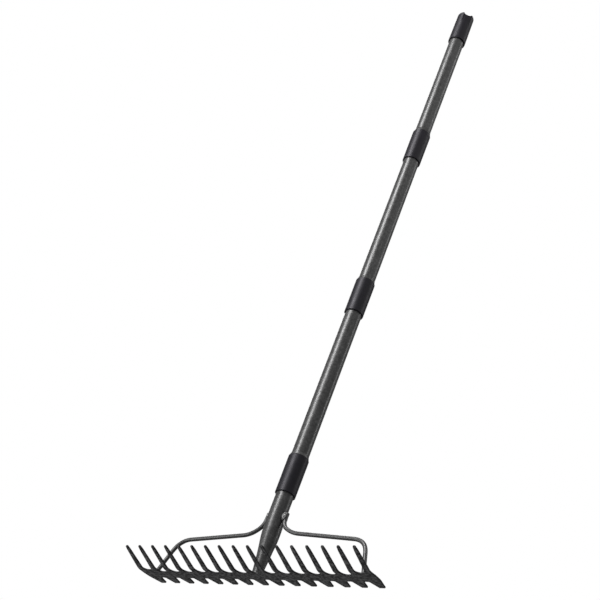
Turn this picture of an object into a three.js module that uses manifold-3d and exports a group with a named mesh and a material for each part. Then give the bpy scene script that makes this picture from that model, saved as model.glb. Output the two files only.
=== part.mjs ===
// Bow rake: a stamped steel head with long tines on one side and short scraper teeth on the other, a
// round-rod bow, a tapered socket, and a tubular handle in three sections held by captive screw collars.
// Millimetres, +Z up. The handle's axis is Z, the head lies across X, and the tines point to -Y.
// The origin is where the handle's axis meets the underside of the head's flat bar.
import * as THREE from "three";
import { mergeVertices } from "three/addons/utils/BufferGeometryUtils.js";
import Module from "manifold-3d";

const wasm = await Module();
wasm.setup();

// Running gap between pieces that touch on the real object.
const GAP = 0.3;

// Size of a cutting block that reaches past every piece it trims.
const CUTTER = 80;

// Head plate, seen in plan.
const SHEET = 2.8;
const TINE_COUNT = 17;
const TINE_PITCH = 26.84;
const TINE_TIP_Y = -64.6;
const TINE_GAP_Y = -8;
const END_GAP_Y = -14.5;
const TINE_ROOT_HALF = 4.5;
const TINE_SHOULDER_HALF = 3.2;
const TINE_POINT_HALF = 2.2;
const TINE_POINT_LENGTH = 8;
const TINE_TIP_ROUND = 1;
const TINE_FILLET = 8.5;
const TOOTH_COUNT = 15;
const TOOTH_PITCH = 29.7;
const TOOTH_TIP_Y = 30.6;
const TOOTH_GAP_Y = 11;
const TOOTH_ROOT_HALF = 9.1;
const TOOTH_TIP_HALF = 5.1;
const TOOTH_FILLET = 3.4;
const TOOTH_TIP_ROUND = 1;
const END_HALF = 220;
const END_ROOT_Y = -30;
const END_SHOULDER_Y = -16;
const END_TOOTH_Y = 15;

// Head plate, seen from the side: the tines and the bar each rise away from a rounded bend.
const TINE_RISE = THREE.MathUtils.degToRad(16.7);
const BAR_RISE = THREE.MathUtils.degToRad(4.6);
const BEND_Y = -20.5;
const BEND_RADIUS = 16.7;
const BEND_STEPS = 4;
const STRIP_MARGIN = 8;

// Socket: radius at each height, and how far its foot leans back over the middle of the bar.
const SOCKET_PROFILE = [
  [8, -4],
  [8.1, 10],
  [8.9, 20],
  [10.2, 34],
  [11.4, 46],
  [12.6, 56],
  [13.5, 65],
  [14, 76],
  [14, 92],
  [14, 110],
];
const SOCKET_LEAN = 3.2;
const SOCKET_LEAN_TOP = 110;
const SOCKET_LEAN_FOOT = 12;
const SOCKET_BORE_FLOOR = 100;
const SOCKET_BORE_CONE = 8;

// Bow rods: one side's bend points on its centre line, from the socket to the bar.
const ROD_RADIUS = 3.2;
const BOW_TOP = [17.7, 0.8, 107];
const BOW_LEAVE = [18.5, 0, 86.4];
const BOW_SHOULDER = [36.7, 0.6];
const BOW_SHOULDER_Z = { left: 70.9, right: 73.5 };
const BOW_CORNER = [177.8, 1.3, 61.5];
const BOW_FOOT_X = 196;
const BOW_FOOT_Y = -3.2;
const BOW_FOOT_CLEAR = 0.9;
const BOW_LEAVE_ROUND = 9.9;
const BOW_SHOULDER_ROUND = 16;
const BOW_CORNER_ROUND = 22.2;

// Weld beads: the groove beads' half sizes and places, and the ring beads' widths.
const GROOVE_BEAD = [1.9, 1.9, 7];
const GROOVE_FRONT = [15.6, -4.6];
const GROOVE_REAR = [15.4, 5.5];
const GROOVE_Z = 100;
const RING_BEAD_SECTION = [[0, 0], [1, 0], [1, 0.3], [0.45, 0.7], [0, 1]];
const SOCKET_BEAD = 2.4;
const SOCKET_BEAD_CLEAR = 0.5;
const ROD_BEAD = 2.4;
const ROD_BEAD_CLEAR = 1.7;

// Handle tubes and the end cap.
const TUBE_RADIUS = 14;
const TUBE_WALL = 1.2;
const CAP_BASE_Z = 1167.5;
const CAP_TOP_Z = 1243;
const CAP_RADIUS = 16.5;
const CAP_TOP_RADIUS = 16;
const CAP_ROUND = 4.5;
const CAP_ROUND_STEPS = 5;
const CAP_ROOF = 12;
const NOTCH_RADIUS = 8.2;
const NOTCH_DEPTH = 8.5;
const NOTCH_AZIMUTH = THREE.MathUtils.degToRad(-41);

// Screw couplings: height of the collar's lower edge, its length, and that of the tube's shoulder above it.
const COUPLINGS = [
  { name: "lower", z: 139, length: 66, shoulder: 5.2 },
  { name: "middle", z: 491, length: 68, shoulder: 6 },
  { name: "upper", z: 844, length: 70, shoulder: 7 },
];
const SHOULDER_RADIUS = 15.8;
const SHOULDER_TOP_RADIUS = 14.5;
const COLLAR_RADIUS = 16.5;
const COLLAR_BASE_RADIUS = 16.3;
const COLLAR_CHAMFER = 0.6;

// Inside a coupling, as heights above the collar's lower edge.
const COLLAR_BORE = TUBE_RADIUS + GAP;
const LOWER_TUBE_TOP = 24;
const CHAMBER_TOP = 50;
const CHAMBER_RADIUS = 13.4;
const WEB_TOP = 54;
const WEB_BORE = 9.3;
const THREAD_PITCH = 4;
const THREAD_RINGS = 4;
const FLANK = 1;
const NUT_THREAD_LOW = 27.5;
const NUT_STEP_TOP = 26.6;
const NUT_STEP_LOW = 26.2;
const PLUG_THREAD_LOW = 26;
const NUT_THREAD_CREST = 12.7;
const PLUG_CREST = 12.4;
const PLUG_ROOT = 11.4;
const PLUG_RIM = 1.8;
const PLUG_RIM_RADIUS = 13.8;
const PLUG_TOP = 46;
const PLUG_TAIL = 22;
const PLUG_BORE = 7.5;
const BUSH_FLANGE_RADIUS = 11.8;
const BUSH_FLANGE = 2.9;
const BUSH_NECK_RADIUS = 9;
const BUSH_BORE = 6;
const BUSH_LENGTH = 24;
const PIN_RADIUS = 1.6;
const PIN_INSET = 8;
const PIN_RECESS = 0.25;

const ROUND = 32;
const SMALL_ROUND = 24;
const PLUG_ROUND = 16;
const ROD_STEPS = 32;

const paint = (color, roughness, metalness) =>
  new THREE.MeshStandardMaterial({ color, roughness, metalness });
const MATERIALS = {
  hammertone: () => paint(0x55575a, 0.38, 0.7),
  plate: () => paint(0x35363a, 0.6, 0.4),
  weld: () => paint(0x6a6c70, 0.5, 0.7),
  plastic: () => paint(0x18181a, 0.42, 0),
  nylon: () => paint(0xb9b6ac, 0.5, 0),
  pin: () => paint(0x9a9ca0, 0.35, 1),
};

// Closed geometry to solid and back, so that pieces can be joined and cut.
function solid(geometry) {
  const bare = geometry.clone();
  bare.deleteAttribute("normal");
  bare.deleteAttribute("uv");
  const merged = mergeVertices(bare, 1e-4);
  return new wasm.Manifold(
    new wasm.Mesh({
      numProp: 3,
      vertProperties: merged.attributes.position.array,
      triVerts: new Uint32Array(merged.index.array),
    }),
  );
}

function geometryOf(made) {
  const mesh = made.getMesh();
  const geometry = new THREE.BufferGeometry();
  geometry.setAttribute("position", new THREE.BufferAttribute(mesh.vertProperties, 3));
  geometry.setIndex(new THREE.BufferAttribute(mesh.triVerts, 1));
  geometry.computeVertexNormals();
  return geometry;
}

// A body turned about Z from [radius, height] points listed from the bottom up along the outside.
function turned(points, segments = ROUND) {
  const profile = points.map(([r, z]) => new THREE.Vector2(r, z));
  return new THREE.LatheGeometry(profile, segments).rotateX(Math.PI / 2);
}

// A hollow body: the outside from the bottom up, then the inside from the top down, closed on itself.
function ring(outside, inside, segments = ROUND) {
  return turned([...outside, ...inside, outside[0]], segments);
}

// A disc turned about Z between two heights.
function disc(radius, low, high, segments = ROUND) {
  return turned([[0, low], [radius, low], [radius, high], [0, high]], segments);
}

// ---- Head plate ----

// One long line of the plate's section at a height above its underside, from the tooth end to the tine end.
function sheetLine(above) {
  const turn = TINE_RISE + BAR_RISE;
  const bar = new THREE.Vector2(Math.cos(BAR_RISE), Math.sin(BAR_RISE));
  const tine = new THREE.Vector2(-Math.cos(TINE_RISE), Math.sin(TINE_RISE));
  const barUp = new THREE.Vector2(-bar.y, bar.x);
  const bend = bar.clone().multiplyScalar(BEND_Y / bar.x);
  const reach = BEND_RADIUS * Math.tan(turn / 2);
  const start = bend.clone().addScaledVector(bar, reach);
  const centre = start.clone().addScaledVector(barUp, BEND_RADIUS);
  const line = [
    bar.clone().multiplyScalar((TOOTH_TIP_Y + STRIP_MARGIN) / bar.x).addScaledVector(barUp, above),
  ];
  for (let i = 0; i <= BEND_STEPS; i++) {
    const angle = -Math.PI / 2 + BAR_RISE - (turn * i) / BEND_STEPS;
    const radius = BEND_RADIUS - above;
    line.push(new THREE.Vector2(Math.cos(angle), Math.sin(angle)).multiplyScalar(radius).add(centre));
  }
  const last = line[line.length - 1];
  line.push(last.clone().addScaledVector(tine, Math.abs(TINE_TIP_Y - BEND_Y) + STRIP_MARGIN));
  return line;
}

function bentStrip() {
  const section = new THREE.Shape([...sheetLine(0).reverse(), ...sheetLine(SHEET)]);
  const width = 2 * (END_HALF + STRIP_MARGIN);
  const strip = new THREE.ExtrudeGeometry(section, { depth: width, bevelEnabled: false });
  const frame = new THREE.Matrix4().makeBasis(
    new THREE.Vector3(0, 1, 0),
    new THREE.Vector3(0, 0, 1),
    new THREE.Vector3(1, 0, 0),
  );
  return strip.translate(0, 0, -width / 2).applyMatrix4(frame);
}

// Adds one tine to the outline, from its left root to its right root.
function addTine(outline, x) {
  const shoulderY = TINE_TIP_Y + TINE_POINT_LENGTH;
  const roundY = TINE_TIP_Y + TINE_TIP_ROUND;
  outline.lineTo(x - TINE_SHOULDER_HALF, shoulderY);
  outline.lineTo(x - TINE_POINT_HALF, roundY);
  outline.quadraticCurveTo(x - TINE_POINT_HALF, TINE_TIP_Y, x, TINE_TIP_Y);
  outline.quadraticCurveTo(x + TINE_POINT_HALF, TINE_TIP_Y, x + TINE_POINT_HALF, roundY);
  outline.lineTo(x + TINE_SHOULDER_HALF, shoulderY);
}

// Adds the round-cornered bottom of the gap between two tines.
function addTineGap(outline, left, right, bottom) {
  const r = TINE_FILLET;
  outline.lineTo(left, bottom - r);
  outline.absarc(left + r, bottom - r, r, Math.PI, Math.PI / 2, true);
  outline.absarc(right - r, bottom - r, r, Math.PI / 2, 0, true);
}

// Adds one tooth, from its right root to its left root.
function addTooth(outline, x) {
  const c = TOOTH_TIP_ROUND;
  outline.lineTo(x + TOOTH_TIP_HALF, TOOTH_TIP_Y - c);
  outline.lineTo(x + TOOTH_TIP_HALF - c, TOOTH_TIP_Y);
  outline.lineTo(x - TOOTH_TIP_HALF + c, TOOTH_TIP_Y);
  outline.lineTo(x - TOOTH_TIP_HALF, TOOTH_TIP_Y - c);
}

// Adds the round-cornered bottom of the gap between two teeth.
function addToothGap(outline, right, left) {
  const r = TOOTH_FILLET;
  outline.lineTo(right, TOOTH_GAP_Y + r);
  outline.quadraticCurveTo(right, TOOTH_GAP_Y, right - r, TOOTH_GAP_Y);
  outline.lineTo(left + r, TOOTH_GAP_Y);
  outline.quadraticCurveTo(left, TOOTH_GAP_Y, left, TOOTH_GAP_Y + r);
}

function plateOutline() {
  const tineX = (i) => (i - (TINE_COUNT - 1) / 2) * TINE_PITCH;
  const toothX = (i) => (i - (TOOTH_COUNT - 1) / 2) * TOOTH_PITCH;
  const outline = new THREE.Shape();
  const outerTine = tineX(TINE_COUNT - 1) + TINE_ROOT_HALF;
  const outerTooth = toothX(TOOTH_COUNT - 1) + TOOTH_ROOT_HALF;
  outline.moveTo(-outerTine, END_ROOT_Y);
  for (let i = 0; i < TINE_COUNT; i++) {
    addTine(outline, tineX(i));
    if (i < TINE_COUNT - 1) {
      const bottom = i === 0 || i === TINE_COUNT - 2 ? END_GAP_Y : TINE_GAP_Y;
      addTineGap(outline, tineX(i) + TINE_ROOT_HALF, tineX(i + 1) - TINE_ROOT_HALF, bottom);
    }
  }
  outline.lineTo(outerTine, END_ROOT_Y);
  outline.quadraticCurveTo(outerTine, END_SHOULDER_Y, END_HALF, TINE_GAP_Y);
  outline.quadraticCurveTo(END_HALF, TOOTH_GAP_Y - TOOTH_FILLET, outerTooth, END_TOOTH_Y);
  for (let i = TOOTH_COUNT - 1; i >= 0; i--) {
    addTooth(outline, toothX(i));
    if (i > 0) addToothGap(outline, toothX(i) - TOOTH_ROOT_HALF, toothX(i - 1) + TOOTH_ROOT_HALF);
  }
  outline.lineTo(-outerTooth, END_TOOTH_Y);
  outline.quadraticCurveTo(-END_HALF, TOOTH_GAP_Y - TOOTH_FILLET, -END_HALF, TINE_GAP_Y);
  outline.quadraticCurveTo(-outerTine, END_SHOULDER_Y, -outerTine, END_ROOT_Y);
  return outline;
}

function tinePlate() {
  const blank = new THREE.ExtrudeGeometry(plateOutline(), {
    depth: CUTTER,
    curveSegments: 2,
    bevelEnabled: false,
  });
  return geometryOf(solid(blank.translate(0, 0, -CUTTER / 2)).intersect(solid(bentStrip())));
}

// Height of the plate's upper face over the flat bar.
const barTop = (y) => y * Math.tan(BAR_RISE) + SHEET / Math.cos(BAR_RISE);

// ---- Socket ----

// How far back the socket's centre line stands at a height.
function lean(z) {
  return SOCKET_LEAN * (1 - THREE.MathUtils.smoothstep(z, SOCKET_LEAN_FOOT, SOCKET_LEAN_TOP));
}

function socket(top) {
  const outside = [[0, SOCKET_PROFILE[0][1]], ...SOCKET_PROFILE, [TUBE_RADIUS, top]];
  const bore = TUBE_RADIUS - TUBE_WALL;
  const inside = [[bore, top], [bore, SOCKET_BORE_FLOOR + SOCKET_BORE_CONE], [0, SOCKET_BORE_FLOOR]];
  const body = turned([...outside, ...inside]);
  const place = body.getAttribute("position");
  for (let i = 0; i < place.count; i++) {
    place.setY(i, place.getY(i) + lean(place.getZ(i)));
  }
  const cutter = new THREE.BoxGeometry(CUTTER, CUTTER, CUTTER).translate(0, 0, -CUTTER / 2);
  cutter.rotateX(BAR_RISE).translate(0, 0, barTop(0) + GAP);
  return geometryOf(solid(body).subtract(solid(cutter)));
}

// ---- Bow ----

// A centre line through straight runs with rounded corners.
function roundedPath(points, rounds) {
  const path = new THREE.CurvePath();
  let from = points[0];
  for (let i = 1; i < points.length - 1; i++) {
    const before = points[i - 1].clone().sub(points[i]).normalize();
    const after = points[i + 1].clone().sub(points[i]).normalize();
    const start = points[i].clone().addScaledVector(before, rounds[i - 1]);
    const end = points[i].clone().addScaledVector(after, rounds[i - 1]);
    path.add(new THREE.LineCurve3(from, start));
    path.add(new THREE.QuadraticBezierCurve3(start, points[i], end));
    from = end;
  }
  path.add(new THREE.LineCurve3(from, points[points.length - 1]));
  return path;
}

function bowRod(word, side) {
  const foot = [BOW_FOOT_X, BOW_FOOT_Y, barTop(BOW_FOOT_Y + ROD_RADIUS) + BOW_FOOT_CLEAR];
  const shoulder = [...BOW_SHOULDER, BOW_SHOULDER_Z[word]];
  const points = [BOW_TOP, BOW_LEAVE, shoulder, BOW_CORNER, foot].map(
    ([x, y, z]) => new THREE.Vector3(side * x, y, z),
  );
  const path = roundedPath(points, [BOW_LEAVE_ROUND, BOW_SHOULDER_ROUND, BOW_CORNER_ROUND]);
  const section = new THREE.Shape().absarc(0, 0, ROD_RADIUS, 0, 2 * Math.PI);
  return new THREE.ExtrudeGeometry(section, {
    extrudePath: path,
    steps: ROD_STEPS,
    curveSegments: 5,
    bevelEnabled: false,
  });
}

// ---- Welds ----

// A fillet bead of the given size, laid round a foot on the bar's upper face.
function footBead(x, y, inner, size) {
  const section = RING_BEAD_SECTION.map(([across, up]) => [inner + size * across, size * up]);
  return ring(section, [], PLUG_ROUND).rotateX(BAR_RISE).translate(x, y, barTop(y) + GAP);
}

// A lens-shaped bead that fills the groove between the bow rod and the socket.
function grooveBead(side, [x, y]) {
  return new THREE.SphereGeometry(1, 10, 6).scale(...GROOVE_BEAD).translate(side * x, y, GROOVE_Z);
}

// ---- Screw couplings ----

const PIN_ALONG_X = new THREE.Matrix4().makeRotationY(Math.PI / 2);

// Heights of a coupling's two cross pins.
const plugPinZ = ({ z }) => z + LOWER_TUBE_TOP - PIN_INSET;
const bushPinZ = ({ z }) => z + WEB_TOP + PIN_INSET;

// Ridges between two radii as [radius, height] points, going up from a height.
function ridges(root, crest, low) {
  const points = [];
  for (let i = 0; i < THREAD_RINGS; i++) {
    const middle = low + (i + 0.5) * THREAD_PITCH;
    points.push([root, middle - FLANK], [crest, middle], [root, middle + FLANK]);
  }
  return points;
}

function collar({ z, length }) {
  const outside = [
    [COLLAR_BORE, 0],
    [COLLAR_BASE_RADIUS, 0],
    [COLLAR_RADIUS, length - COLLAR_CHAMFER],
    [COLLAR_RADIUS - COLLAR_CHAMFER, length],
    [COLLAR_BORE, length],
  ];
  const thread = ridges(CHAMBER_RADIUS, NUT_THREAD_CREST, NUT_THREAD_LOW).reverse();
  const inside = [
    [COLLAR_BORE, WEB_TOP],
    [WEB_BORE, WEB_TOP],
    [WEB_BORE, CHAMBER_TOP],
    [CHAMBER_RADIUS, CHAMBER_TOP],
    ...thread,
    [CHAMBER_RADIUS, NUT_STEP_TOP],
    [COLLAR_BORE, NUT_STEP_LOW],
  ];
  return ring(outside, inside, SMALL_ROUND).translate(0, 0, z);
}

// The male half of a coupling, pressed into the tube or socket below.
function threadedPlug({ z }) {
  const sleeve = TUBE_RADIUS - TUBE_WALL - GAP;
  const outside = [
    [PLUG_BORE, LOWER_TUBE_TOP - PLUG_TAIL],
    [sleeve, LOWER_TUBE_TOP - PLUG_TAIL],
    [sleeve, LOWER_TUBE_TOP + GAP],
    [PLUG_RIM_RADIUS, LOWER_TUBE_TOP + GAP],
    [PLUG_RIM_RADIUS, LOWER_TUBE_TOP + PLUG_RIM],
    [PLUG_ROOT, LOWER_TUBE_TOP + PLUG_RIM],
    ...ridges(PLUG_ROOT, PLUG_CREST, PLUG_THREAD_LOW),
    [PLUG_ROOT, PLUG_TOP],
  ];
  const body = ring(outside, [[PLUG_BORE, PLUG_TOP]], PLUG_ROUND).translate(0, 0, z);
  return geometryOf(solid(body).subtract(crossHole(plugPinZ({ z }))));
}

// The female half's captive bush, pressed into the tube above and headed under the collar's web.
function captiveBush({ z }) {
  const sleeve = TUBE_RADIUS - TUBE_WALL - GAP;
  const flangeLow = CHAMBER_TOP - GAP - BUSH_FLANGE;
  const outside = [
    [BUSH_BORE, flangeLow],
    [BUSH_FLANGE_RADIUS, flangeLow],
    [BUSH_FLANGE_RADIUS, CHAMBER_TOP - GAP],
    [BUSH_NECK_RADIUS, CHAMBER_TOP - GAP],
    [BUSH_NECK_RADIUS, WEB_TOP + GAP],
    [sleeve, WEB_TOP + GAP],
    [sleeve, WEB_TOP + BUSH_LENGTH],
  ];
  const body = ring(outside, [[BUSH_BORE, WEB_TOP + BUSH_LENGTH]], PLUG_ROUND).translate(0, 0, z);
  return geometryOf(solid(body).subtract(crossHole(bushPinZ({ z }))));
}

// The cutter for a cross pin's hole at a height.
function crossHole(z) {
  const hole = disc(PIN_RADIUS + GAP, -CUTTER / 2, CUTTER / 2, PLUG_ROUND).applyMatrix4(PIN_ALONG_X);
  return solid(hole.translate(0, 0, z));
}

// A headless pin across a tube, flush with its outside.
function crossPin(z) {
  const half = TUBE_RADIUS - PIN_RECESS;
  return disc(PIN_RADIUS, -half, half, PLUG_ROUND).applyMatrix4(PIN_ALONG_X).translate(0, 0, z);
}

// ---- Handle ----

// A thin tube with a shoulder that traps the collar below it, and cross-pin holes at the given heights.
function tube(low, high, shoulderLow, shoulderHigh, holes) {
  const bore = TUBE_RADIUS - TUBE_WALL;
  const outside = [
    [bore, low],
    [TUBE_RADIUS, low],
    [TUBE_RADIUS, shoulderLow],
    [SHOULDER_RADIUS, shoulderLow],
    [SHOULDER_TOP_RADIUS, shoulderHigh],
    [TUBE_RADIUS, shoulderHigh],
    [TUBE_RADIUS, high],
  ];
  let body = solid(ring(outside, [[bore, high]]));
  for (const z of holes) body = body.subtract(crossHole(z));
  return geometryOf(body);
}

function endCap() {
  const bore = TUBE_RADIUS + GAP;
  const arc = [];
  for (let i = 0; i <= CAP_ROUND_STEPS; i++) {
    const angle = (i / CAP_ROUND_STEPS) * (Math.PI / 2);
    const r = CAP_TOP_RADIUS - CAP_ROUND + CAP_ROUND * Math.cos(angle);
    arc.push([r, CAP_TOP_Z - CAP_ROUND + CAP_ROUND * Math.sin(angle)]);
  }
  const outside = [[bore, CAP_BASE_Z], [CAP_RADIUS, CAP_BASE_Z], ...arc];
  const roof = CAP_TOP_Z - CAP_ROOF;
  const body = turned([...outside, [0, CAP_TOP_Z], [0, roof], [bore, roof], [bore, CAP_BASE_Z]]);
  const notch = disc(NOTCH_RADIUS, -CUTTER / 2, CUTTER / 2).applyMatrix4(PIN_ALONG_X).rotateZ(NOTCH_AZIMUTH);
  notch.translate(0, 0, CAP_TOP_Z - NOTCH_DEPTH + NOTCH_RADIUS);
  return geometryOf(solid(body).subtract(solid(notch)));
}

// ---- Assembly ----

const rake = new THREE.Group();

function add(name, geometry, material) {
  const mesh = new THREE.Mesh(geometry, MATERIALS[material]());
  mesh.name = name;
  rake.add(mesh);
}

add("tine_plate", tinePlate(), "plate");
const [lower, middle, upper] = COUPLINGS;

const socketBody = solid(socket(lower.z + LOWER_TUBE_TOP)).subtract(crossHole(plugPinZ(lower)));
add("socket", geometryOf(socketBody), "hammertone");
const socketBeadInner = SOCKET_PROFILE[1][0] + SOCKET_BEAD_CLEAR;
add("weld_socket_foot", footBead(0, lean(barTop(0)), socketBeadInner, SOCKET_BEAD), "weld");
for (const [word, side] of [["left", -1], ["right", 1]]) {
  add(`bow_rod_${word}`, bowRod(word, side), "hammertone");
  const footBeadInner = ROD_RADIUS + ROD_BEAD_CLEAR;
  add(`weld_bow_foot_${word}`, footBead(side * BOW_FOOT_X, BOW_FOOT_Y, footBeadInner, ROD_BEAD), "weld");
  add(`weld_bow_top_${word}_front`, grooveBead(side, GROOVE_FRONT), "weld");
  add(`weld_bow_top_${word}_rear`, grooveBead(side, GROOVE_REAR), "weld");
}

const TUBES = [
  { name: "lower", below: lower, above: middle },
  { name: "middle", below: middle, above: upper },
  { name: "upper", below: upper, above: null },
];
for (const { name, below, above } of TUBES) {
  const low = below.z + WEB_TOP + GAP;
  const high = above ? above.z + LOWER_TUBE_TOP : CAP_TOP_Z - CAP_ROOF - GAP;
  const collarTop = below.z + below.length;
  const holes = above ? [bushPinZ(below), plugPinZ(above)] : [bushPinZ(below)];
  const body = tube(low, high, collarTop + GAP, collarTop + below.shoulder, holes);
  add(`threaded_plug_${name}`, threadedPlug(below), "nylon");
  add(`plug_pin_${name}`, crossPin(plugPinZ(below)), "pin");
  add(`screw_collar_${name}`, collar(below), "plastic");
  add(`captive_bush_${name}`, captiveBush(below), "nylon");
  add(`bush_pin_${name}`, crossPin(bushPinZ(below)), "pin");
  add(`handle_tube_${name}`, body, "hammertone");
}
add("end_cap", endCap(), "plastic");

export default rake;
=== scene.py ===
"""Looks of the bow rake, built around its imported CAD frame.

Metres, in the frame's own axes: +Z up the handle, X across the head, tines towards -Y.
Sizes written with MM are the real object's millimetres.
"""
import math

import bmesh
import bpy
from mathutils import Matrix, Vector, geometry, noise


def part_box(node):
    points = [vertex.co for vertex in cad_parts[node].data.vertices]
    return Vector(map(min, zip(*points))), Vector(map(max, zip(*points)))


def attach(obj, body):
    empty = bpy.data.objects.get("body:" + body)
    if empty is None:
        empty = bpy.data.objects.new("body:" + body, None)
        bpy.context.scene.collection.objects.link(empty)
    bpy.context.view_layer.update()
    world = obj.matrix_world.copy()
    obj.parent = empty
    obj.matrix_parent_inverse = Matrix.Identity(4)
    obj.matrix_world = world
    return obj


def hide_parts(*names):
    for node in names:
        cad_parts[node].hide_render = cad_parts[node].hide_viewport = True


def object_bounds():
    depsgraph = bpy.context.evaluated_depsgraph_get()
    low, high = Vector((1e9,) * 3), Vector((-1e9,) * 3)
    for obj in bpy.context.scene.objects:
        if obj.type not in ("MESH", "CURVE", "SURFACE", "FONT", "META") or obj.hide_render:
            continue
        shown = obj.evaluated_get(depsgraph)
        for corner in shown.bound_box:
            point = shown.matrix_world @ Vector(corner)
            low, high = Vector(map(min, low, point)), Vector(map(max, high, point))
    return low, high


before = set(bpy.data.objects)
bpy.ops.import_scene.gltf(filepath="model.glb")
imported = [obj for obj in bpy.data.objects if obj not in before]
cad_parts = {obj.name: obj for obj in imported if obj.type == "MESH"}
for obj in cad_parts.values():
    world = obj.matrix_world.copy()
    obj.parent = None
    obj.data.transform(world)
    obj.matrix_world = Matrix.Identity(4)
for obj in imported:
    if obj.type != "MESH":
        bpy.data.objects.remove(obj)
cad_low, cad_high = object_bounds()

MM = 0.001
ROUND = 96
HEAD = "head"

# Head plate, as its CAD node has it, and the rounding of its stamped edges.
SHEET = 2.8 * MM
TINE_COUNT = 17
TINE_PITCH = 26.84 * MM
TINE_TIP_Y = -64.6 * MM
TINE_GAP_Y = -8 * MM
END_GAP_Y = -14.5 * MM
TINE_ROOT_HALF = 4.5 * MM
TINE_SHOULDER_HALF = 3.2 * MM
TINE_POINT_HALF = 2.2 * MM
TINE_POINT_LENGTH = 8 * MM
TINE_TIP_ROUND = 1 * MM
TINE_FILLET = 8.5 * MM
TOOTH_COUNT = 15
TOOTH_PITCH = 29.7 * MM
TOOTH_TIP_Y = 30.6 * MM
TOOTH_GAP_Y = 11 * MM
TOOTH_ROOT_HALF = 9.1 * MM
TOOTH_TIP_HALF = 5.1 * MM
TOOTH_FILLET = 3.4 * MM
TOOTH_TIP_ROUND = 1 * MM
END_HALF = 220 * MM
END_ROOT_Y = -30 * MM
END_SHOULDER_Y = -16 * MM
END_TOOTH_Y = 15 * MM
TINE_RISE = math.radians(16.7)
BAR_RISE = math.radians(4.6)
BEND_Y = -20.5 * MM
BEND_RADIUS = 16.7 * MM
EDGE_ROUND = 0.8 * MM
EDGE_STEPS = 4
BEND_CUT = 1.0 * MM

# Socket and bow, as their CAD nodes have them.
SOCKET_PROFILE = [
    (8.1, 10), (8.9, 20), (10.2, 34), (11.4, 46), (12.6, 56), (13.5, 65), (14, 76), (14, 92), (14, 110),
]
SOCKET_FLOOR = 108 * MM
SOCKET_LEAN = 3.2 * MM
SOCKET_LEAN_FOOT = 12 * MM
SOCKET_LEAN_TOP = 110 * MM
ROD_RADIUS = 3.2 * MM
BOW_TOP = (17.7, 0.8, 107)
BOW_LEAVE = (18.5, 0, 86.4)
BOW_SHOULDER = (36.7, 0.6)
BOW_SHOULDER_Z = {"left": 70.9, "right": 73.5}
BOW_CORNER = (177.8, 1.3, 61.5)
BOW_FOOT = (196, -3.2, 4)
BOW_ROUNDS = (9.9 * MM, 16 * MM, 22.2 * MM)

# The beads between the bow's ends and the socket: middle, then half sizes. The right one was welded last.
TOP_BEADS = {
    "left_front": ((-15.3, -3.2, 100), (2.0, 1.8, 7)),
    "left_rear": ((-15.2, 5, 100), (2.2, 2.2, 7)),
    "right_front": ((16.6, -3.5, 99.5), (2.9, 2.6, 6.5)),
    "right_rear": ((15.2, 5, 100), (2.2, 2.2, 7)),
}

BEAD_LUMP = 0.22
BEAD_DETAIL = 5
FOOT_BEAD_RADIUS = 1.5 * MM

# Handle: tubes, their shoulders, and what the collars and the cap clear them by.
TUBE_RADIUS = 14 * MM
WALL = 1.2 * MM
CLEARANCE = 0.3 * MM
SHOULDERS = {"lower": 5.2 * MM, "middle": 6 * MM, "upper": 7 * MM}
SHOULDER_RADIUS = 15.8 * MM
SHOULDER_TOP_RADIUS = 14.5 * MM

# The end cap, its hang notch and the scoops below the notch's mouths.
CAP_TOP_RADIUS = 16 * MM
CAP_DOME = 4.5 * MM
CAP_ROUND = 192
CAP_RINGS = 80
DOME_STEPS = 12
LID_STEPS = 24
NOTCH_RADIUS = 8.2 * MM
NOTCH_DEPTH = 8.5 * MM
NOTCH_AZIMUTH = math.radians(-41)
SCOOP_LENGTH = 20 * MM
SCOOP_HALF = 8.2 * MM
SCOOP_DEPTH = 1.8 * MM
NOTCH_BLEND = 0.7 * MM

# The photographer's place: what the camera looks at, from how far, and how it is turned.
CAMERA_AIM = Vector((-0.0625, -0.0667, 0.4772))
CAMERA_DISTANCE = 2.2127
CAMERA_AZIMUTH = math.radians(46.73)
CAMERA_ELEVATION = math.radians(-33.41)
CAMERA_ROLL = math.radians(22.32)
CAMERA_LENS = 80.23

# Studio, in metres and shares of white.
FLOOR_HALF = 12
FLOOR_GLOW = 0.4
AMBIENT = 0.16


# ---- Node trees ----

def new_material(name, **values):
    """A material with its Principled shader's sockets set, and its tree's nodes at hand."""
    made = bpy.data.materials.new(name)
    made.use_nodes = True
    shader = made.node_tree.nodes["Principled BSDF"]
    for socket, value in values.items():
        shader.inputs[socket.replace("_", " ")].default_value = value
    return made, made.node_tree, shader


def node(tree, kind, settings=None, **inputs):
    """Adds a node, sets its properties, and sets or links its inputs by name."""
    made = tree.nodes.new(kind)
    for key, value in (settings or {}).items():
        setattr(made, key, value)
    for key, value in inputs.items():
        socket = made.inputs[key.replace("_", " ")]
        if isinstance(value, bpy.types.NodeSocket):
            tree.links.new(value, socket)
        else:
            socket.default_value = value
    return made


def ramp(tree, value, *stops):
    """A colour ramp of (position, grey or colour) stops."""
    made = tree.nodes.new("ShaderNodeValToRGB")
    tree.links.new(value, made.inputs["Fac"])
    elements = made.color_ramp.elements
    while len(elements) < len(stops):
        elements.new(0.5)
    for element, (position, colour) in zip(elements, stops):
        element.position = position
        element.color = (*colour, 1) if isinstance(colour, tuple) else (colour, colour, colour, 1)
    return made.outputs["Color"]


def spread(tree, value, low, high, to_low, to_high):
    """Maps a value from one span to another."""
    made = node(tree, "ShaderNodeMapRange", From_Min=low, From_Max=high, To_Min=to_low, To_Max=to_high)
    tree.links.new(value, made.inputs["Value"])
    return made.outputs["Result"]


def place(tree):
    return tree.nodes.new("ShaderNodeTexCoord").outputs["Object"]


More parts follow.
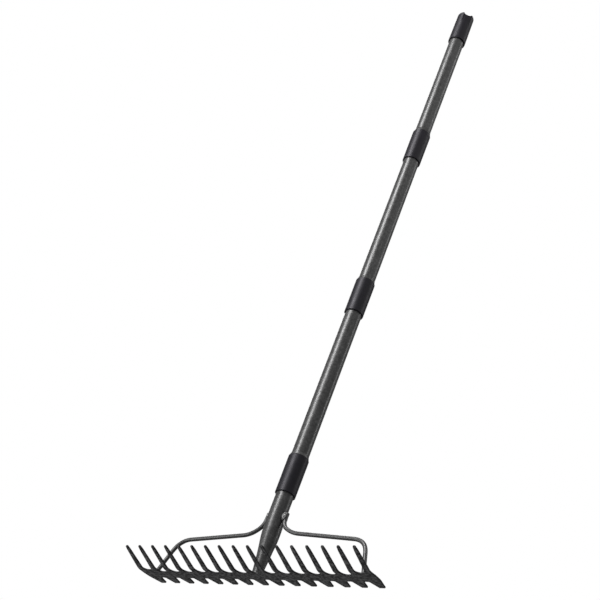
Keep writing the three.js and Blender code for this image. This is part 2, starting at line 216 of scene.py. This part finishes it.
def fine_noise(tree, where, scale, detail=3.0):
    made = node(tree, "ShaderNodeTexNoise", Scale=scale, Detail=detail, Roughness=0.6)
    tree.links.new(where, made.inputs["Vector"])
    return made.outputs["Fac"]


def bumped(tree, shader, height, depth, below=None):
    """Adds a bump of a real depth in metres to the shader, over another bump if one is given."""
    made = node(tree, "ShaderNodeBump", Strength=1.0, Distance=depth)
    tree.links.new(height, made.inputs["Height"])
    if below is not None:
        tree.links.new(below, made.inputs["Normal"])
    tree.links.new(made.outputs["Normal"], shader.inputs["Normal"])
    return made.outputs["Normal"]


# ---- Materials ----

def hammertone():
    """Hammered stove enamel: small smooth dimples with dark pools and silvery ridges."""
    made, tree, shader = new_material("hammertone", Metallic=0.55, Coat_Weight=0.35, Coat_Roughness=0.22)
    where = place(tree)
    warp = node(tree, "ShaderNodeTexNoise", Scale=160.0, Detail=2.0)
    tree.links.new(where, warp.inputs["Vector"])
    mixed = node(tree, "ShaderNodeMix", {"data_type": "VECTOR"}, Factor=0.004)
    tree.links.new(where, mixed.inputs["A"])
    tree.links.new(warp.outputs["Color"], mixed.inputs["B"])
    cells = node(tree, "ShaderNodeTexVoronoi", {"feature": "SMOOTH_F1"}, Scale=330.0, Smoothness=0.8)
    tree.links.new(mixed.outputs["Result"], cells.inputs["Vector"])
    dimple = cells.outputs["Distance"]
    blotch = fine_noise(tree, where, 90.0)
    tone = node(tree, "ShaderNodeMix", {"data_type": "FLOAT"}, Factor=0.45)
    tree.links.new(dimple, tone.inputs["A"])
    tree.links.new(blotch, tone.inputs["B"])
    colour = ramp(tree, tone.outputs["Result"], (0.2, 0.07), (0.5, 0.115), (0.75, 0.17))
    tree.links.new(colour, shader.inputs["Base Color"])
    tree.links.new(spread(tree, blotch, 0.3, 0.7, 0.34, 0.46), shader.inputs["Roughness"])
    bumped(tree, shader, dimple, 0.055 * MM)
    return made


def coated_plate():
    """Powder coat over stamped steel: clouded grey faces, an orange peel, and painted shade darkening the
    rounded edges and side walls.
    """
    made, tree, shader = new_material("coated_plate", Metallic=0.2)
    where = place(tree)
    peel = fine_noise(tree, where, 700.0)
    cloud = fine_noise(tree, where, 190.0)
    colour = ramp(
        tree, cloud,
        (0.4, (0.04, 0.04, 0.042)), (0.5, (0.125, 0.125, 0.128)), (0.6, (0.26, 0.26, 0.264)),
    )
    # Painted shade: the plate's edge attribute, 1 on its side walls, mixes the faces' grey towards near
    # black.
    shaded_sides = node(tree, "ShaderNodeAttribute", {"attribute_name": "edge"})
    mixed = node(tree, "ShaderNodeMix", {"data_type": "RGBA"}, B=(0.02, 0.02, 0.021, 1))
    tree.links.new(shaded_sides.outputs["Fac"], mixed.inputs["Factor"])
    tree.links.new(colour, mixed.inputs["A"])
    tree.links.new(mixed.outputs["Result"], shader.inputs["Base Color"])
    tree.links.new(spread(tree, cloud, 0.3, 0.7, 0.58, 0.42), shader.inputs["Roughness"])
    bumped(tree, shader, cloud, 0.25 * MM, bumped(tree, shader, peel, 0.03 * MM))
    return made


def weld_metal(name, dark, light):
    """A weld bead under paint: blotchy, with a fine crust."""
    made, tree, shader = new_material(name, Metallic=0.6)
    where = place(tree)
    blotch = fine_noise(tree, where, 420.0, 4.0)
    crust = fine_noise(tree, where, 1500.0)
    colour = ramp(tree, blotch, (0.38, dark), (0.62, light))
    tree.links.new(colour, shader.inputs["Base Color"])
    tree.links.new(spread(tree, blotch, 0.3, 0.7, 0.28, 0.5), shader.inputs["Roughness"])
    bumped(tree, shader, crust, 0.08 * MM)
    return made


def black_plastic():
    """Satin moulded plastic, faintly violet, with a fine spark-eroded grain and handling marks."""
    made, tree, shader = new_material("black_plastic", Specular_Tint=(0.95, 0.925, 1, 1))
    where = place(tree)
    grain = fine_noise(tree, where, 1400.0, 2.0)
    cloud = fine_noise(tree, where, 60.0, 5.0)
    colour = ramp(tree, cloud, (0.3, (0.0105, 0.0098, 0.0135)), (0.7, (0.017, 0.016, 0.0215)))
    tree.links.new(colour, shader.inputs["Base Color"])
    tree.links.new(spread(tree, cloud, 0.3, 0.7, 0.4, 0.5), shader.inputs["Roughness"])
    bumped(tree, shader, grain, 0.02 * MM)
    return made


def nylon():
    """Natural glass-filled nylon of the couplings' inner pieces."""
    made, tree, shader = new_material("nylon", Subsurface_Weight=0.05, Roughness=0.5)
    fibre = fine_noise(tree, place(tree), 500.0)
    colour = ramp(tree, fibre, (0.3, (0.46, 0.44, 0.39)), (0.7, (0.6, 0.58, 0.52)))
    tree.links.new(colour, shader.inputs["Base Color"])
    bumped(tree, shader, fibre, 0.03 * MM)
    return made


def pin_steel():
    """Bright turned steel of the cross pins."""
    made, tree, shader = new_material("pin_steel", Metallic=1.0)
    grain = fine_noise(tree, place(tree), 900.0)
    colour = ramp(tree, grain, (0.3, 0.48), (0.7, 0.62))
    tree.links.new(colour, shader.inputs["Base Color"])
    tree.links.new(spread(tree, grain, 0.3, 0.7, 0.26, 0.4), shader.inputs["Roughness"])
    return made


SLOTS = {
    "painted_steel_hammertone": hammertone(),
    "coated_plate": coated_plate(),
    "weld_bead": weld_metal("weld_bead", 0.12, 0.5),
    "black_plastic": black_plastic(),
    "nylon": nylon(),
    "pin_steel": pin_steel(),
}


# ---- Mesh helpers ----

def piece(name, mesh, slot, body, *nodes, sharp=32):
    """A smooth-shaded piece that rides on a body, stands for CAD nodes and has its slot's material."""
    mesh.materials.append(SLOTS[slot])
    mesh.shade_smooth()
    mesh.set_sharp_from_angle(angle=math.radians(sharp))
    made = bpy.data.objects.new(name, mesh)
    bpy.context.scene.collection.objects.link(made)
    made.modifiers.new("weighted_normals", "WEIGHTED_NORMAL").keep_sharp = True
    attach(made, body)
    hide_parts(*nodes)
    return made


def new_mesh(name, points, faces):
    mesh = bpy.data.meshes.new(name)
    mesh.from_pydata(points, [], faces)
    mesh.update()
    return mesh


def curve_between(start, corner, end, steps):
    """Points of a quadratic curve that leaves start and reaches end, pulled towards the corner."""
    spots = []
    for i in range(steps + 1):
        t = i / steps
        spots.append(start.lerp(corner, t).lerp(corner.lerp(end, t), t))
    return spots


def rounded(corners, steps=5):
    """A line through (point, rounding) corners, with each rounded corner as a curve."""
    line = [corners[0][0]]
    for i in range(1, len(corners) - 1):
        spot, size = corners[i]
        if not size:
            line.append(spot)
            continue
        back = (corners[i - 1][0] - spot).normalized()
        on = (corners[i + 1][0] - spot).normalized()
        line += curve_between(spot + back * size, spot, spot + on * size, steps)
    return line + [corners[-1][0]]


def profile(*corners):
    """A section's points from (radius, height, rounding) corners."""
    return rounded([(Vector((r, z)), size) for r, z, size in corners])


def turned(name, section, closed=False, segments=ROUND, shape=None):
    """A section turned about Z. An open section starts and ends on the axis; shape may move each point."""
    points, faces, rings = [], [], []
    for r, z in section:
        if r < 1e-7:
            rings.append([len(points)] * segments)
            points.append((0, 0, z))
            continue
        rings.append(list(range(len(points), len(points) + segments)))
        for i in range(segments):
            angle = 2 * math.pi * i / segments
            spot = Vector((r * math.cos(angle), r * math.sin(angle), z))
            points.append(shape(spot) if shape else spot)
    pairs = list(zip(rings, rings[1:] + rings[:1])) if closed else list(zip(rings, rings[1:]))
    for low, high in pairs:
        for i in range(segments):
            j = (i + 1) % segments
            corners = dict.fromkeys([low[i], low[j], high[j], high[i]])
            if len(corners) > 2:
                faces.append(list(corners))
    return new_mesh(name, points, faces)


# ---- Head plate ----

def tine_x(i):
    return (i - (TINE_COUNT - 1) / 2) * TINE_PITCH


def tooth_x(i):
    return (i - (TOOTH_COUNT - 1) / 2) * TOOTH_PITCH


def flat(*spots):
    return [Vector(spot) for spot in spots]


def mirrored(spots, x):
    """A line's mirror image about x, in reverse order."""
    return [Vector((2 * x - spot.x, spot.y)) for spot in reversed(spots)]


def tine_outline(x):
    """One tine's sides and rounded point, from left to right."""
    edge = x - TINE_POINT_HALF
    tip = curve_between(*flat((edge, TINE_TIP_Y + TINE_TIP_ROUND), (edge, TINE_TIP_Y), (x, TINE_TIP_Y)), 5)
    left = [Vector((x - TINE_SHOULDER_HALF, TINE_TIP_Y + TINE_POINT_LENGTH)), *tip]
    return left + mirrored(left, x)[1:]


def tine_gap(left, right, bottom):
    """The round-cornered bottom of the gap between two tines, from left to right."""
    steps = 7
    y = bottom - TINE_FILLET
    spots = []
    for middle, first in ((left + TINE_FILLET, math.pi), (right - TINE_FILLET, math.pi / 2)):
        for i in range(steps + 1):
            angle = first - math.pi / 2 * i / steps
            spots.append(Vector((middle + TINE_FILLET * math.cos(angle), y + TINE_FILLET * math.sin(angle))))
    return spots


def tooth_outline(x):
    """One tooth's blunt tip, from right to left."""
    edge = x + TOOTH_TIP_HALF
    c = TOOTH_TIP_ROUND
    corner = curve_between(*flat((edge, TOOTH_TIP_Y - c), (edge, TOOTH_TIP_Y), (edge - c, TOOTH_TIP_Y)), 3)
    return corner + mirrored(corner, x)


def tooth_gap(right, left):
    """The round-cornered bottom of the gap between two teeth, from right to left."""
    r = TOOTH_FILLET
    corner = curve_between(*flat((right, TOOTH_GAP_Y + r), (right, TOOTH_GAP_Y), (right - r, TOOTH_GAP_Y)), 5)
    return corner + mirrored(corner, (right + left) / 2)


def plate_end():
    """The plate's right-hand end, from the outer tine's root round to the outer tooth."""
    tine = tine_x(TINE_COUNT - 1) + TINE_ROOT_HALF
    tooth = tooth_x(TOOTH_COUNT - 1) + TOOTH_ROOT_HALF
    widest = (END_HALF, TINE_GAP_Y)
    root = curve_between(*flat((tine, END_ROOT_Y), (tine, END_SHOULDER_Y), widest), 6)
    shoulder = curve_between(*flat(widest, (END_HALF, TOOTH_GAP_Y - TOOTH_FILLET), (tooth, END_TOOTH_Y)), 6)
    return root + shoulder[1:]


def plate_outline():
    """The whole plate in plan, anticlockwise from the left-hand outer tine."""
    outline = []
    for i in range(TINE_COUNT):
        outline += tine_outline(tine_x(i))
        if i < TINE_COUNT - 1:
            bottom = END_GAP_Y if i in (0, TINE_COUNT - 2) else TINE_GAP_Y
            outline += tine_gap(tine_x(i) + TINE_ROOT_HALF, tine_x(i + 1) - TINE_ROOT_HALF, bottom)
    end = plate_end()
    outline += end
    for i in reversed(range(TOOTH_COUNT)):
        outline += tooth_outline(tooth_x(i))
        if i:
            outline += tooth_gap(tooth_x(i) - TOOTH_ROOT_HALF, tooth_x(i - 1) + TOOTH_ROOT_HALF)
    return outline + mirrored(end, 0)


def inset(outline, size):
    """The outline moved inwards by a size, with mitred corners."""
    spots = []
    for i, spot in enumerate(outline):
        before = (spot - outline[i - 1]).normalized()
        after = (outline[(i + 1) % len(outline)] - spot).normalized()
        first = Vector((-before.y, before.x))
        second = Vector((-after.y, after.x))
        spots.append(spot + (first + second) * (size / (1 + first.dot(second))))
    return spots


def plate_height(y, above):
    """Height of the bent plate at a place and a share of its thickness above its underside."""
    turn = TINE_RISE + BAR_RISE
    reach = BEND_RADIUS * math.tan(turn / 2)
    start = Vector((BEND_Y + reach * math.cos(BAR_RISE), 0))
    start.y = start.x * math.tan(BAR_RISE)
    centre = start + Vector((-math.sin(BAR_RISE), math.cos(BAR_RISE))) * BEND_RADIUS
    radius = BEND_RADIUS - above * SHEET
    if y >= centre.x + radius * math.sin(BAR_RISE):
        return y * math.tan(BAR_RISE) + above * SHEET / math.cos(BAR_RISE)
    if y > centre.x - radius * math.sin(TINE_RISE):
        return centre.y - math.sqrt(radius**2 - (y - centre.x) ** 2)
    end = centre + Vector((-math.sin(TINE_RISE), -math.cos(TINE_RISE))) * radius
    return end.y + (end.x - y) * math.tan(TINE_RISE)


def head_plate():
    """The stamped plate: rounded edges all round its outline, then bent."""
    outline = plate_outline()
    count = len(outline)
    levels = []
    for i in range(EDGE_STEPS + 1):
        angle = math.pi / 2 * i / EDGE_STEPS
        size = EDGE_ROUND * (1 - math.sin(angle))
        rise = EDGE_ROUND * (1 - math.cos(angle))
        # The third value is painted shade: 0 where the rounding meets a face, 1 on the side wall; the plate
        # material darkens by it.
        levels.append((size, rise, math.sin(angle)))
    levels += [(size, SHEET - rise, side_shade) for size, rise, side_shade in reversed(levels)]
    points, painted_edge_shade, faces = [], [], []
    for size, rise, side_shade in levels:
        points += [(spot.x, spot.y, rise) for spot in inset(outline, size)]
        painted_edge_shade += [side_shade] * count
    for level in range(len(levels) - 1):
        for i in range(count):
            j = (i + 1) % count
            low = level * count
            faces.append((low + i, low + j, low + count + j, low + count + i))
    cap = geometry.tessellate_polygon([[Vector(spot) for spot in points[:count]]])
    last = (len(levels) - 1) * count
    for a, b, c in cap:
        turn = (Vector(points[b]) - Vector(points[a])).cross(Vector(points[c]) - Vector(points[a])).z
        up = (a, b, c) if turn > 0 else (c, b, a)
        faces.append(tuple(reversed(up)))
        faces.append(tuple(last + k for k in up))
    mesh = new_mesh("head_plate", points, faces)
    # The edge attribute carries the painted shade of the side walls to the plate material.
    attribute = mesh.attributes.new("edge", "FLOAT", "POINT")
    attribute.data.foreach_set("value", painted_edge_shade)
    work = bmesh.new()
    work.from_mesh(mesh)
    bend = BEND_RADIUS * math.sin((TINE_RISE + BAR_RISE) / 2) + 2 * MM
    cuts = int(2 * bend / BEND_CUT)
    for i in range(cuts + 1):
        at = BEND_Y - bend + i * BEND_CUT
        everything = work.verts[:] + work.edges[:] + work.faces[:]
        bmesh.ops.bisect_plane(work, geom=everything, dist=1e-7, plane_co=(0, at, 0), plane_no=(0, 1, 0))
    for vert in work.verts:
        vert.co.z = plate_height(vert.co.y, vert.co.z / SHEET)
    work.to_mesh(mesh)
    work.free()
    return piece("head_plate", mesh, "coated_plate", HEAD, "tine_plate")


def bar_top(y):
    return plate_height(y, 1)


# ---- Socket and bow ----

def lean(z):
    """How far back the socket's centre line stands at a height."""
    share = min(max((z - SOCKET_LEAN_FOOT) / (SOCKET_LEAN_TOP - SOCKET_LEAN_FOOT), 0), 1)
    return SOCKET_LEAN * (1 - share * share * (3 - 2 * share))


def smooth_line(spots, steps):
    """A smooth line through spots (Catmull-Rom)."""
    ends = [spots[0] * 2 - spots[1], *spots, spots[-1] * 2 - spots[-2]]
    line = []
    for a, b, c, d in zip(ends, ends[1:], ends[2:], ends[3:]):
        for i in range(steps):
            t = i / steps
            square = (2 * a - 5 * b + 4 * c - d) * t**2
            cube = (3 * b - a - 3 * c + d) * t**3
            line.append(0.5 * (2 * b + (c - a) * t + square + cube))
    return line + [spots[-1]]


def socket():
    """The swaged socket: it narrows and leans back to its foot on the bar."""
    low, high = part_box("socket")
    spots = [Vector((r * MM, z * MM)) for r, z in SOCKET_PROFILE]
    foot = Vector((SOCKET_PROFILE[0][0] * MM, low.z))
    outside = smooth_line([foot, *spots], 4) + [Vector((TUBE_RADIUS, high.z))]
    bore = TUBE_RADIUS - WALL
    inside = [Vector((bore, high.z)), Vector((bore, SOCKET_FLOOR)), Vector((0, SOCKET_FLOOR))]
    section = [Vector((0, low.z)), *outside, *inside]

    def stand(spot):
        spot.y += lean(spot.z)
        if spot.z < low.z + MM:
            spot.z = bar_top(spot.y)
        return spot

    mesh = turned("socket_body", section, shape=stand)
    return piece("socket_body", mesh, "painted_steel_hammertone", HEAD, "socket")


def swept(name, path, radius, sides=24):
    """A round rod along a path."""
    points, faces = [], []
    side = (path[1] - path[0]).orthogonal().normalized()
    count = len(path)
    for i, spot in enumerate(path):
        along = (path[min(i + 1, count - 1)] - path[max(i - 1, 0)]).normalized()
        side = (side - along * side.dot(along)).normalized()
        other = along.cross(side)
        for k in range(sides):
            angle = 2 * math.pi * k / sides
            points.append(spot + (side * math.cos(angle) + other * math.sin(angle)) * radius)
    for i in range(count - 1):
        for k in range(sides):
            j = (k + 1) % sides
            a = i * sides
            faces.append((a + k, a + j, a + sides + j, a + sides + k))
    faces.append(tuple(reversed(range(sides))))
    faces.append(tuple(range((count - 1) * sides, count * sides)))
    return new_mesh(name, points, faces)


def bow_rod(word, side):
    """One side of the bow: up from the bar, across, and in to the socket's flank."""
    bends = (BOW_TOP, BOW_LEAVE, (*BOW_SHOULDER, BOW_SHOULDER_Z[word]), BOW_CORNER, BOW_FOOT)
    corners = [Vector((side * x, y, z)) * MM for x, y, z in bends]
    line = rounded([(spot, size) for spot, size in zip(corners, (0, *BOW_ROUNDS, 0))], 12)
    name = f"bow_{word}"
    return piece(name, swept(name, line, ROD_RADIUS), "painted_steel_hammertone", HEAD, f"bow_rod_{word}")


def lumpy(name, size, at, seed):
    """A weld bead: an ellipsoid of the given half sizes with uneven lumps."""
    work = bmesh.new()
    bmesh.ops.create_icosphere(work, subdivisions=BEAD_DETAIL, radius=1)
    offset = Vector((seed, 2 * seed, 3 * seed))
    for vert in work.verts:
        rough = noise.noise(vert.co * 2.6 + offset) + 0.5 * noise.noise(vert.co * 6.5 + offset)
        vert.co *= 1 + BEAD_LUMP * rough
        vert.co = Vector((vert.co.x * size[0], vert.co.y * size[1], vert.co.z * size[2])) + Vector(at)
    mesh = bpy.data.meshes.new(name)
    work.to_mesh(mesh)
    work.free()
    return mesh


def weld_top(place_name, seed):
    """The bead in the groove between a rod's end and the socket."""
    at, size = TOP_BEADS[place_name]
    name = f"bead_top_{place_name}"
    mesh = lumpy(name, [half * MM for half in size], Vector(at) * MM, seed)
    return piece(name, mesh, "weld_bead", HEAD, f"weld_bow_top_{place_name}", sharp=60)


def weld_foot(node_name, seed):
    """The fillet bead round a foot on the bar: a ring of overlapping ripples."""
    low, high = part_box(node_name)
    middle = (low + high) / 2
    reach = (high.x - low.x) / 2
    size = FOOT_BEAD_RADIUS
    name = "bead" + node_name[len("weld"):]
    points, faces = [], []
    around, across = 72, 14
    for i in range(around):
        angle = 2 * math.pi * i / around
        out = Vector((math.cos(angle), math.sin(angle), 0))
        ripple = 1 + 0.12 * math.sin(13 * angle) + 0.25 * noise.noise(out * 2.2 + Vector((seed, 0, 0)))
        for k in range(across):
            turn = 2 * math.pi * k / across
            arm = out * (math.cos(turn) * size * ripple) + Vector((0, 0, math.sin(turn) * size * ripple))
            spot = Vector((middle.x, middle.y, 0)) + out * (reach - size) + arm
            spot.z += bar_top(spot.y) + 0.3 * MM
            points.append(spot)
    for i in range(around):
        for k in range(across):
            a, b = i * across, (i + 1) % around * across
            j = (k + 1) % across
            faces.append((a + k, b + k, b + j, a + j))
    return piece(name, new_mesh(name, points, faces), "weld_bead", HEAD, node_name, sharp=60)


# ---- Handle ----

def handle_tube(word):
    """One tube of the handle, with rolled ends and the shoulder that sits on its collar."""
    low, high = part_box(f"handle_tube_{word}")
    collar_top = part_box(f"screw_collar_{word}")[1].z
    shoulder = collar_top + SHOULDERS[word]
    r = TUBE_RADIUS
    section = profile(
        (r - WALL / 2, low.z, 0), (r, low.z, 0.4 * MM), (r, collar_top + CLEARANCE, 0),
        (SHOULDER_RADIUS, collar_top + CLEARANCE, 0.5 * MM), (SHOULDER_TOP_RADIUS, shoulder, 0.3 * MM),
        (r, shoulder, 0), (r, high.z, 0.4 * MM), (r - WALL, high.z, 0.4 * MM), (r - WALL, low.z, 0.4 * MM),
        (r - WALL / 2, low.z, 0),
    )
    name = f"tube_{word}"
    mesh = turned(name, section[:-1], closed=True)
    return piece(name, mesh, "painted_steel_hammertone", f"section_{word}", f"handle_tube_{word}")


def collar(word):
    """A screw collar: a barrel that widens a little upwards, with softened ends."""
    low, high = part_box(f"screw_collar_{word}")
    bore = TUBE_RADIUS + CLEARANCE
    base = high.x - 0.2 * MM
    middle = (bore + base) / 2
    section = profile(
        (middle, low.z, 0), (base, low.z, 0.6 * MM), (high.x, high.z, 1.2 * MM), (bore, high.z, 0.3 * MM),
        (bore, low.z, 0.3 * MM), (middle, low.z, 0),
    )
    name = f"collar_{word}_shell"
    mesh = turned(name, section[:-1], closed=True)
    return piece(name, mesh, "black_plastic", f"collar_{word}", f"screw_collar_{word}")


def smallest(a, b, blend):
    """The smaller of two values, rounded where they cross."""
    share = max(blend - abs(a - b), 0) / blend
    return min(a, b) - share * share * blend / 4


def cap():
    """The end cap: a domed sleeve with a saddle notch across its top and a scoop below each mouth."""
    low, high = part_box("end_cap")
    base, top = high.x, CAP_TOP_RADIUS
    bore = TUBE_RADIUS + CLEARANCE
    foot = low.z + 3 * MM
    brow = high.z - CAP_DOME
    lid = top - CAP_DOME
    section = profile(
        (0, low.z + 2 * MM, 0), (bore, low.z + 2 * MM, 0.3 * MM), (bore, low.z, 0.3 * MM),
        (base, low.z, 0.6 * MM), (base, foot, 0),
    )
    for i in range(1, CAP_RINGS + 1):
        section.append(Vector((base, foot)).lerp(Vector((top, brow)), i / CAP_RINGS))
    for i in range(1, DOME_STEPS + 1):
        angle = math.pi / 2 * i / DOME_STEPS
        section.append(Vector((lid + CAP_DOME * math.cos(angle), brow + CAP_DOME * math.sin(angle))))
    for i in range(1, LID_STEPS + 1):
        section.append(Vector((lid * (1 - i / LID_STEPS), high.z)))
    notch_floor = high.z - NOTCH_DEPTH
    along = Vector((math.cos(NOTCH_AZIMUTH), math.sin(NOTCH_AZIMUTH)))

    def notched(spot):
        flat_spot = Vector((spot.x, spot.y))
        across = along.cross(flat_spot)
        radius = flat_spot.length
        if radius > bore + MM and foot < spot.z:
            drop = (notch_floor - spot.z) / SCOOP_LENGTH
            side = abs(across) / SCOOP_HALF
            if drop < 1 and side < 1:
                depth = SCOOP_DEPTH * (1 - max(drop, 0)) * min((1 - side) * 4, 1)
                spot.x *= 1 - depth / radius
                spot.y *= 1 - depth / radius
        reach = min(abs(across), NOTCH_RADIUS * 0.999)
        saddle = notch_floor + NOTCH_RADIUS - math.sqrt(NOTCH_RADIUS**2 - reach**2)
        if abs(across) >= NOTCH_RADIUS:
            saddle = high.z + NOTCH_RADIUS
        if spot.z > notch_floor - 3 * MM:
            spot.z = smallest(spot.z, saddle, NOTCH_BLEND)
        return spot

    mesh = turned("cap_shell", section, shape=notched, segments=CAP_ROUND)
    return piece("cap_shell", mesh, "black_plastic", "section_upper", "end_cap")


# ---- The object ----

head_plate()
socket()
weld_foot("weld_socket_foot", 1.0)
for seed, (word, side) in enumerate((("left", -1), ("right", 1)), start=2):
    bow_rod(word, side)
    weld_foot(f"weld_bow_foot_{word}", seed)
for seed, place_name in enumerate(TOP_BEADS, start=4):
    weld_top(place_name, seed)
for word in ("lower", "middle", "upper"):
    handle_tube(word)
    collar(word)
cap()

HIDDEN = {"threaded_plug": "nylon", "captive_bush": "nylon", "plug_pin": "pin_steel", "bush_pin": "pin_steel"}
for word in ("lower", "middle", "upper"):
    for start, slot in HIDDEN.items():
        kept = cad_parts[f"{start}_{word}"]
        kept.data.materials.clear()
        kept.data.materials.append(SLOTS[slot])


# ---- Studio ----

def floor():
    """A pale floor just under the rake, which a camera below it sees through."""
    made, tree, shader = new_material(
        "floor", Roughness=0.9, Base_Color=(0.9, 0.9, 0.9, 1),
        Emission_Color=(1, 1, 1, 1), Emission_Strength=FLOOR_GLOW,
    )
    clear = tree.nodes.new("ShaderNodeBsdfTransparent")
    behind = tree.nodes.new("ShaderNodeNewGeometry")
    either = tree.nodes.new("ShaderNodeMixShader")
    tree.links.new(behind.outputs["Backfacing"], either.inputs["Fac"])
    tree.links.new(shader.outputs["BSDF"], either.inputs[1])
    tree.links.new(clear.outputs["BSDF"], either.inputs[2])
    tree.links.new(either.outputs["Shader"], tree.nodes["Material Output"].inputs["Surface"])
    half = FLOOR_HALF
    z = cad_low.z - 0.2 * MM
    corners = [(-half, -half, z), (half, -half, z), (half, half, z), (-half, half, z)]
    mesh = new_mesh("floor", corners, [(0, 1, 2, 3)])
    mesh.materials.append(made)
    ground = bpy.data.objects.new("floor", mesh)
    bpy.context.scene.collection.objects.link(ground)
    ground.visible_diffuse = False
    ground.visible_glossy = False
    ground.visible_transmission = False
    ground.visible_shadow = False


def softbox(name, azimuth, elevation, distance, size, power, aim=Vector((0, 0, 0.62))):
    """A rectangular studio light that faces the rake."""
    lamp = bpy.data.lights.new(name, "AREA")
    lamp.shape = "RECTANGLE"
    lamp.size, lamp.size_y = size
    lamp.energy = power
    a, e = math.radians(azimuth), math.radians(elevation)
    back = Vector((math.sin(a) * math.cos(e), -math.cos(a) * math.cos(e), math.sin(e)))
    made = bpy.data.objects.new(name, lamp)
    made.location = aim + back * distance
    made.rotation_mode = "QUATERNION"
    made.rotation_quaternion = (-back).to_track_quat("-Z", "Y")
    bpy.context.scene.collection.objects.link(made)


def sky():
    """White behind the object, and a softer grey as the light that falls on it."""
    world = bpy.data.worlds.new("studio")
    bpy.context.scene.world = world
    world.use_nodes = True
    tree = world.node_tree
    backdrop = node(tree, "ShaderNodeBackground", Color=(1, 1, 1, 1), Strength=1.0)
    ambient = node(tree, "ShaderNodeBackground", Color=(1, 1, 1, 1), Strength=AMBIENT)
    seen = tree.nodes.new("ShaderNodeLightPath")
    either = tree.nodes.new("ShaderNodeMixShader")
    tree.links.new(seen.outputs["Is Camera Ray"], either.inputs["Fac"])
    tree.links.new(ambient.outputs["Background"], either.inputs[1])
    tree.links.new(backdrop.outputs["Background"], either.inputs[2])
    tree.links.new(either.outputs["Shader"], tree.nodes["World Output"].inputs["Surface"])


def camera():
    """The camera at the photographer's place."""
    lens = bpy.data.cameras.new("camera")
    lens.lens = CAMERA_LENS
    made = bpy.data.objects.new("camera", lens)
    level = math.cos(CAMERA_ELEVATION)
    back = Vector((
        math.sin(CAMERA_AZIMUTH) * level, -math.cos(CAMERA_AZIMUTH) * level, math.sin(CAMERA_ELEVATION),
    ))
    made.location = CAMERA_AIM + back * CAMERA_DISTANCE
    facing = (-back).to_track_quat("-Z", "Y").to_matrix().to_4x4()
    made.rotation_euler = (facing @ Matrix.Rotation(CAMERA_ROLL, 4, "Z")).to_euler()
    bpy.context.scene.collection.objects.link(made)
    bpy.context.scene.camera = made


floor()
sky()
softbox("key", -15, 31, 2.6, (0.9, 2.1), 54)
softbox("key_low", -15, -3, 2.6, (0.9, 0.8), 8)
softbox("rim", 134, 32, 2.6, (0.2, 2.6), 8)
softbox("fill", 230, 35, 3.2, (1.6, 2.0), 24)
softbox("low", -48, -22, 2.8, (1.6, 1.6), 16)
softbox("top", 84, 40, 2.4, (2.2, 1.2), 3.5, Vector((0, 0, 1.0)))
camera()
bpy.context.scene.view_settings.view_transform = "Standard"
